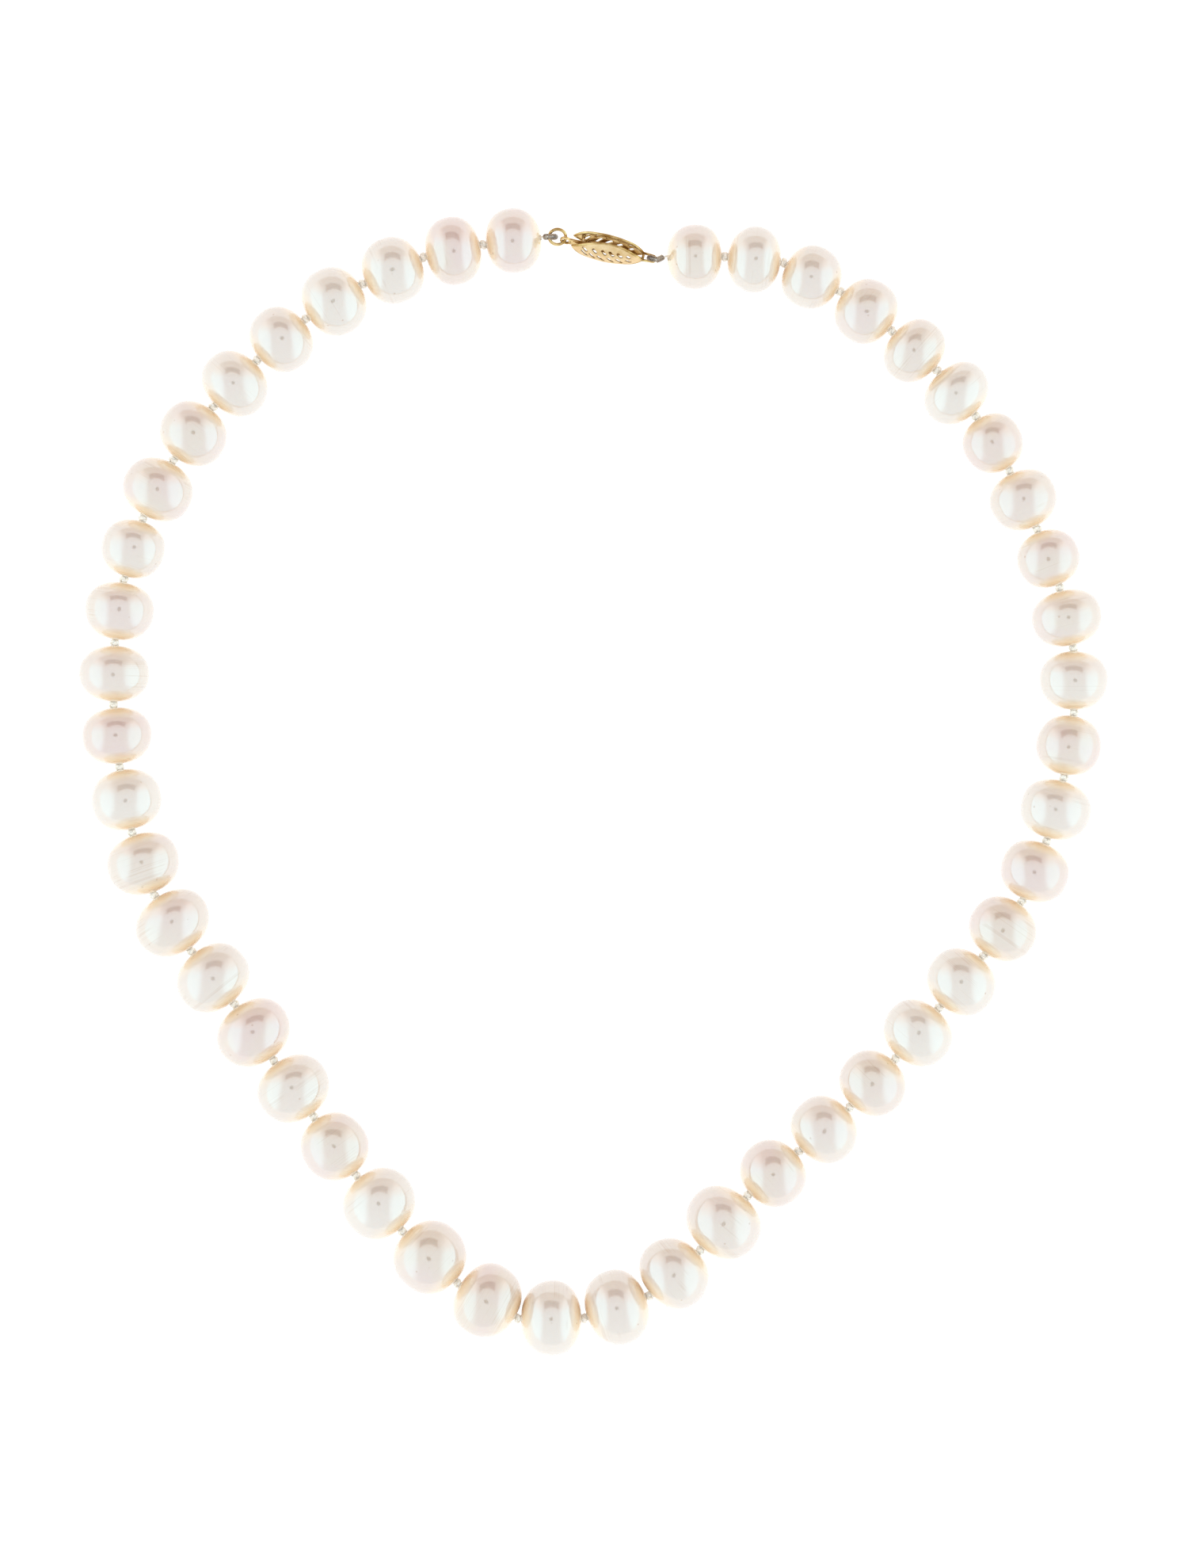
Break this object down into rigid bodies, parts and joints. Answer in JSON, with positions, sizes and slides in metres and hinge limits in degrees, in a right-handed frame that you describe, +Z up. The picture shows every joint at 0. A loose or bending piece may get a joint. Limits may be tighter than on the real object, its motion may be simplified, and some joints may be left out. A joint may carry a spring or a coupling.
{
  "type": "pearl necklace",
  "caption": "Knotted single-strand necklace of round cream pearls, closed at the back by a pierced gold fishhook clasp with a jump ring.",
  "frame": {"origin": "middle of the laid-out necklace's outline, on the surface that it lies on", "axes": "+Z up out of the surface, +Y from the lowest pearls of the loop towards the clasp, +X to the right seen from above"},
  "size_m": [0.15, 0.1674, 0.0115],
  "materials": {
    "pearl_nacre": "lustrous",
    "silk": "twisted thread",
    "polished_gold": "polished",
    "matte_gold": "granulated",
    "gimp_wire": "tarnished coil"
  },
  "bodies": {
    "link_01": {"pearl_01": "pearl_nacre", "gimp_left": "gimp_wire"},
    "link_02": {"pearl_02": "pearl_nacre"},
    "link_03": {"pearl_03": "pearl_nacre"},
    "link_04": {"pearl_04": "pearl_nacre"},
    "link_05": {"pearl_05": "pearl_nacre"},
    "link_06": {"pearl_06": "pearl_nacre"},
    "link_07": {"pearl_07": "pearl_nacre"},
    "link_08": {"pearl_08": "pearl_nacre"},
    "link_09": {"pearl_09": "pearl_nacre"},
    "link_10": {"pearl_10": "pearl_nacre"},
    "link_11": {"pearl_11": "pearl_nacre"},
    "link_12": {"pearl_12": "pearl_nacre"},
    "link_13": {"pearl_13": "pearl_nacre"},
    "link_14": {"pearl_14": "pearl_nacre"},
    "link_15": {"pearl_15": "pearl_nacre"},
    "link_16": {"pearl_16": "pearl_nacre"},
    "link_17": {"pearl_17": "pearl_nacre"},
    "link_18": {"pearl_18": "pearl_nacre"},
    "link_19": {"pearl_19": "pearl_nacre"},
    "link_20": {"pearl_20": "pearl_nacre"},
    "link_21": {"pearl_21": "pearl_nacre"},
    "link_22": {"pearl_22": "pearl_nacre"},
    "link_23": {"pearl_23": "pearl_nacre", "silk_thread": "silk"},
    "link_24": {"pearl_24": "pearl_nacre"},
    "link_25": {"pearl_25": "pearl_nacre"},
    "link_26": {"pearl_26": "pearl_nacre"},
    "link_27": {"pearl_27": "pearl_nacre"},
    "link_28": {"pearl_28": "pearl_nacre"},
    "link_29": {"pearl_29": "pearl_nacre"},
    "link_30": {"pearl_30": "pearl_nacre"},
    "link_31": {"pearl_31": "pearl_nacre"},
    "link_32": {"pearl_32": "pearl_nacre"},
    "link_33": {"pearl_33": "pearl_nacre"},
    "link_34": {"pearl_34": "pearl_nacre"},
    "link_35": {"pearl_35": "pearl_nacre"},
    "link_36": {"pearl_36": "pearl_nacre"},
    "link_37": {"pearl_37": "pearl_nacre"},
    "link_38": {"pearl_38": "pearl_nacre"},
    "link_39": {"pearl_39": "pearl_nacre"},
    "link_40": {"pearl_40": "pearl_nacre"},
    "link_41": {"pearl_41": "pearl_nacre"},
    "link_42": {"pearl_42": "pearl_nacre"},
    "link_43": {"pearl_43": "pearl_nacre"},
    "link_44": {"pearl_44": "pearl_nacre"},
    "link_45": {"pearl_45": "pearl_nacre"},
    "link_46": {"pearl_46": "pearl_nacre", "gimp_right": "gimp_wire"},
    "ring": {"jump_ring": "polished_gold"},
    "tongue": {"hook_tongue": "polished_gold"},
    "shell": {"clasp_front_leaf": "matte_gold", "clasp_back_leaf": "polished_gold", "catch_bar": "polished_gold", "clasp_bail": "polished_gold"}
  },
  "joints": [
    {"name": "loop_squeeze", "type": "hinge", "parent": "link_23", "child": "link_24", "pos_m": [-0.00132, -0.07819, 0.00555], "axis": [0, 0, 1], "range_deg": [0, 12]},
    {"name": "clasp_open_right", "type": "hinge", "parent": "link_24", "child": "link_25", "pos_m": [0.00809, -0.07496, 0.00555], "axis": [0, 0, -1], "range_deg": [-1, 31]},
    {"name": "knot_fold_22", "type": "hinge", "parent": "link_23", "child": "link_22", "pos_m": [-0.01101, -0.07816, 0.00555], "axis": [0.9365, 0.3505, 0.0071], "range_deg": [-24, 24], "deforming": ["silk_thread"]},
    {"name": "knot_fold_25", "type": "hinge", "parent": "link_25", "child": "link_26", "pos_m": [0.01552, -0.06824, 0.00575], "axis": [0.9365, 0.3505, 0.0071], "range_deg": [-25, 25]},
    {"name": "knot_fold_21", "type": "hinge", "parent": "link_22", "child": "link_21", "pos_m": [-0.01984, -0.07308, 0.00555], "axis": [-0.9569, -0.2904, -0.0045], "range_deg": [-30, 30]},
    {"name": "knot_fold_26", "type": "hinge", "parent": "link_26", "child": "link_27", "pos_m": [0.02239, -0.06026, 0.00575], "axis": [-0.9569, -0.2904, -0.0045], "range_deg": [-31, 31]},
    {"name": "knot_fold_20", "type": "hinge", "parent": "link_21", "child": "link_20", "pos_m": [-0.02781, -0.06546, 0.0055], "axis": [0.9804, 0.1969, -0.0068], "range_deg": [-30, 30]},
    {"name": "knot_fold_27", "type": "hinge", "parent": "link_27", "child": "link_28", "pos_m": [0.0299, -0.05387, 0.0051], "axis": [0.9804, 0.1969, -0.0068], "range_deg": [-31, 31]},
    {"name": "knot_fold_19", "type": "hinge", "parent": "link_20", "child": "link_19", "pos_m": [-0.03462, -0.05742, 0.0055], "axis": [-0.9905, -0.1372, 0.0055], "range_deg": [-30, 30]},
    {"name": "knot_fold_28", "type": "hinge", "parent": "link_28", "child": "link_29", "pos_m": [0.03729, -0.04746, 0.0051], "axis": [-0.9905, -0.1372, 0.0055], "range_deg": [-31, 31]},
    {"name": "knot_fold_18", "type": "hinge", "parent": "link_19", "child": "link_18", "pos_m": [-0.04081, -0.04886, 0.00545], "axis": [0.995, 0.0995, -0.0029], "range_deg": [-30, 30]},
    {"name": "knot_fold_29", "type": "hinge", "parent": "link_29", "child": "link_30", "pos_m": [0.04402, -0.04038, 0.0052], "axis": [0.995, 0.0995, -0.0029], "range_deg": [-31, 31]},
    {"name": "knot_fold_17", "type": "hinge", "parent": "link_18", "child": "link_17", "pos_m": [-0.04661, -0.04065, 0.00555], "axis": [-0.9969, -0.079, 0.0036], "range_deg": [-30, 30]},
    {"name": "knot_fold_30", "type": "hinge", "parent": "link_30", "child": "link_31", "pos_m": [0.05039, -0.03296, 0.0052], "axis": [-0.9969, -0.079, 0.0036], "range_deg": [-31, 31]},
    {"name": "knot_fold_16", "type": "hinge", "parent": "link_17", "child": "link_16", "pos_m": [-0.05231, -0.03246, 0.0056], "axis": [0.9979, 0.0641, -0.0037], "range_deg": [-30, 30]},
    {"name": "knot_fold_31", "type": "hinge", "parent": "link_31", "child": "link_32", "pos_m": [0.05683, -0.02545, 0.0052], "axis": [0.9979, 0.0641, -0.0037], "range_deg": [-31, 31]},
    {"name": "knot_fold_15", "type": "hinge", "parent": "link_16", "child": "link_15", "pos_m": [-0.05856, -0.02468, 0.00565], "axis": [-0.9982, -0.0595, 0.0045], "range_deg": [-30, 30]},
    {"name": "clasp_open", "type": "hinge", "parent": "link_15", "child": "link_14", "pos_m": [-0.06401, -0.01656, 0.00565], "axis": [0, 0, 1], "range_deg": [0, 30]},
    {"name": "knot_fold_32", "type": "hinge", "parent": "link_32", "child": "link_33", "pos_m": [0.06239, -0.01746, 0.0051], "axis": [-0.9982, -0.0595, 0.0045], "range_deg": [-31, 31]},
    {"name": "knot_fold_13", "type": "hinge", "parent": "link_14", "child": "link_13", "pos_m": [-0.06719, -0.0074, 0.00535], "axis": [1, -0.0097, -0.0008], "range_deg": [-30, 30]},
    {"name": "loop_squeeze_left", "type": "hinge", "parent": "link_13", "child": "link_12", "pos_m": [-0.06901, 0.00214, 0.0052], "axis": [0, 0, 1], "range_deg": [-1, 14]},
    {"name": "knot_fold_33", "type": "hinge", "parent": "link_33", "child": "link_34", "pos_m": [0.06609, -0.00869, 0.00525], "axis": [1, -0.0097, -0.0008], "range_deg": [-31, 31]},
    {"name": "loop_squeeze_right", "type": "hinge", "parent": "link_34", "child": "link_35", "pos_m": [0.06849, 0.00054, 0.00525], "axis": [0, 0, 1], "range_deg": [-14, 1]},
    {"name": "knot_fold_11", "type": "hinge", "parent": "link_12", "child": "link_11", "pos_m": [-0.0699, 0.0112, 0.00515], "axis": [-1, 0.0085, 0.0011], "range_deg": [-30, 30]},
    {"name": "knot_fold_35", "type": "hinge", "parent": "link_35", "child": "link_36", "pos_m": [0.06997, 0.01, 0.005], "axis": [-1, 0.0085, 0.0011], "range_deg": [-31, 31]},
    {"name": "knot_fold_10", "type": "hinge", "parent": "link_11", "child": "link_10", "pos_m": [-0.06971, 0.02024, 0.00515], "axis": [1, -0.0057, 0.0004], "range_deg": [-30, 30]},
    {"name": "knot_fold_36", "type": "hinge", "parent": "link_36", "child": "link_37", "pos_m": [0.06999, 0.01944, 0.0052], "axis": [1, -0.0057, 0.0004], "range_deg": [-31, 31]},
    {"name": "knot_fold_09", "type": "hinge", "parent": "link_10", "child": "link_09", "pos_m": [-0.06838, 0.02943, 0.0051], "axis": [-1, 0.0089, -0.0007], "range_deg": [-30, 30]},
    {"name": "knot_fold_37", "type": "hinge", "parent": "link_37", "child": "link_38", "pos_m": [0.06792, 0.02822, 0.0052], "axis": [-1, 0.0089, -0.0007], "range_deg": [-31, 31]},
    {"name": "knot_fold_08", "type": "hinge", "parent": "link_09", "child": "link_08", "pos_m": [-0.06571, 0.03834, 0.00525], "axis": [0.9999, -0.0123, -0.0023], "range_deg": [-30, 30]},
    {"name": "knot_fold_38", "type": "hinge", "parent": "link_38", "child": "link_39", "pos_m": [0.06459, 0.03674, 0.00495], "axis": [0.9999, -0.0123, -0.0023], "range_deg": [-31, 31]},
    {"name": "knot_fold_07", "type": "hinge", "parent": "link_08", "child": "link_07", "pos_m": [-0.06116, 0.04678, 0.00525], "axis": [-0.9999, 0.0122, 0.0025], "range_deg": [-30, 30]},
    {"name": "knot_fold_39", "type": "hinge", "parent": "link_39", "child": "link_40", "pos_m": [0.06065, 0.04529, 0.00495], "axis": [-0.9999, 0.0122, 0.0025], "range_deg": [-31, 31]},
    {"name": "knot_fold_06", "type": "hinge", "parent": "link_07", "child": "link_06", "pos_m": [-0.05541, 0.05454, 0.0052], "axis": [0.9999, -0.0117, -0.0009], "range_deg": [-30, 30]},
    {"name": "knot_fold_40", "type": "hinge", "parent": "link_40", "child": "link_41", "pos_m": [0.05579, 0.05324, 0.0051], "axis": [0.9999, -0.0117, -0.0009], "range_deg": [-31, 31]},
    {"name": "knot_fold_05", "type": "hinge", "parent": "link_06", "child": "link_05", "pos_m": [-0.04907, 0.06138, 0.0052], "axis": [-0.9999, 0.0156, 0.001], "range_deg": [-30, 30]},
    {"name": "knot_fold_41", "type": "hinge", "parent": "link_41", "child": "link_42", "pos_m": [0.05006, 0.05983, 0.0051], "axis": [-0.9999, 0.0156, 0.001], "range_deg": [-31, 31]},
    {"name": "knot_fold_04", "type": "hinge", "parent": "link_05", "child": "link_04", "pos_m": [-0.04191, 0.06734, 0.0052], "axis": [0.9998, -0.0199, -0.0029], "range_deg": [-30, 30]},
    {"name": "knot_fold_42", "type": "hinge", "parent": "link_42", "child": "link_43", "pos_m": [0.04349, 0.06564, 0.00495], "axis": [0.9998, -0.0199, -0.0029], "range_deg": [-31, 31]},
    {"name": "knot_fold_03", "type": "hinge", "parent": "link_04", "child": "link_03", "pos_m": [-0.03365, 0.07247, 0.0052], "axis": [-0.9999, 0.0162, 0.005], "range_deg": [-30, 30]},
    {"name": "knot_fold_43", "type": "hinge", "parent": "link_43", "child": "link_44", "pos_m": [0.03593, 0.07134, 0.00485], "axis": [-0.9999, 0.0162, 0.005], "range_deg": [-31, 31]},
    {"name": "knot_fold_02", "type": "hinge", "parent": "link_03", "child": "link_02", "pos_m": [-0.02481, 0.07634, 0.0051], "axis": [0.9999, -0.0152, -0.0048], "range_deg": [-30, 30]},
    {"name": "knot_fold_44", "type": "hinge", "parent": "link_44", "child": "link_45", "pos_m": [0.02769, 0.07554, 0.00485], "axis": [0.9999, -0.0152, -0.0048], "range_deg": [-31, 31]},
    {"name": "knot_fold_01", "type": "hinge", "parent": "link_02", "child": "link_01", "pos_m": [-0.01608, 0.07818, 0.0051], "axis": [-0.9989, 0.0472, 0.0071], "range_deg": [-30, 30]},
    {"name": "loop_squeeze_clasp", "type": "hinge", "parent": "link_01", "child": "ring", "pos_m": [-0.0065, 0.07934, 0.0048], "axis": [0, 0, 1], "range_deg": [-14, 1]},
    {"name": "knot_fold_45", "type": "hinge", "parent": "link_45", "child": "link_46", "pos_m": [0.01912, 0.07652, 0.00485], "axis": [-0.9989, 0.0472, 0.0071], "range_deg": [-31, 31]},
    {"name": "clasp_roll", "type": "hinge", "parent": "link_46", "child": "shell", "pos_m": [0.00902, 0.07605, 0.0048], "axis": [0.9697, -0.2441, 0], "range_deg": [-9, 9]},
    {"name": "clasp_roll_tongue", "type": "hinge", "parent": "ring", "child": "tongue", "pos_m": [-0.00402, 0.07934, 0.0048], "axis": [0.9697, -0.2441, 0], "range_deg": [-10, 10]}
  ],
  "couplings": [
    {"joint": "loop_squeeze_left", "follows": "loop_squeeze", "ratio": 1.0644},
    {"joint": "loop_squeeze_right", "follows": "loop_squeeze", "ratio": -0.95628},
    {"joint": "loop_squeeze_clasp", "follows": "loop_squeeze", "ratio": -1.0206},
    {"joint": "clasp_open_right", "follows": "clasp_open", "ratio": 1},
    {"joint": "knot_fold_25", "follows": "knot_fold_22", "ratio": 1},
    {"joint": "knot_fold_26", "follows": "knot_fold_21", "ratio": 1},
    {"joint": "knot_fold_27", "follows": "knot_fold_20", "ratio": 1},
    {"joint": "knot_fold_28", "follows": "knot_fold_19", "ratio": 1},
    {"joint": "knot_fold_29", "follows": "knot_fold_18", "ratio": 1},
    {"joint": "knot_fold_30", "follows": "knot_fold_17", "ratio": 1},
    {"joint": "knot_fold_31", "follows": "knot_fold_16", "ratio": 1},
    {"joint": "knot_fold_32", "follows": "knot_fold_15", "ratio": 1},
    {"joint": "knot_fold_33", "follows": "knot_fold_13", "ratio": 1},
    {"joint": "knot_fold_35", "follows": "knot_fold_11", "ratio": 1},
    {"joint": "knot_fold_36", "follows": "knot_fold_10", "ratio": 1},
    {"joint": "knot_fold_37", "follows": "knot_fold_09", "ratio": 1},
    {"joint": "knot_fold_38", "follows": "knot_fold_08", "ratio": 1},
    {"joint": "knot_fold_39", "follows": "knot_fold_07", "ratio": 1},
    {"joint": "knot_fold_40", "follows": "knot_fold_06", "ratio": 1},
    {"joint": "knot_fold_41", "follows": "knot_fold_05", "ratio": 1},
    {"joint": "knot_fold_42", "follows": "knot_fold_04", "ratio": 1},
    {"joint": "knot_fold_43", "follows": "knot_fold_03", "ratio": 1},
    {"joint": "knot_fold_44", "follows": "knot_fold_02", "ratio": 1},
    {"joint": "knot_fold_45", "follows": "knot_fold_01", "ratio": 1},
    {"joint": "clasp_roll_tongue", "follows": "clasp_roll", "ratio": 1}
  ]
}
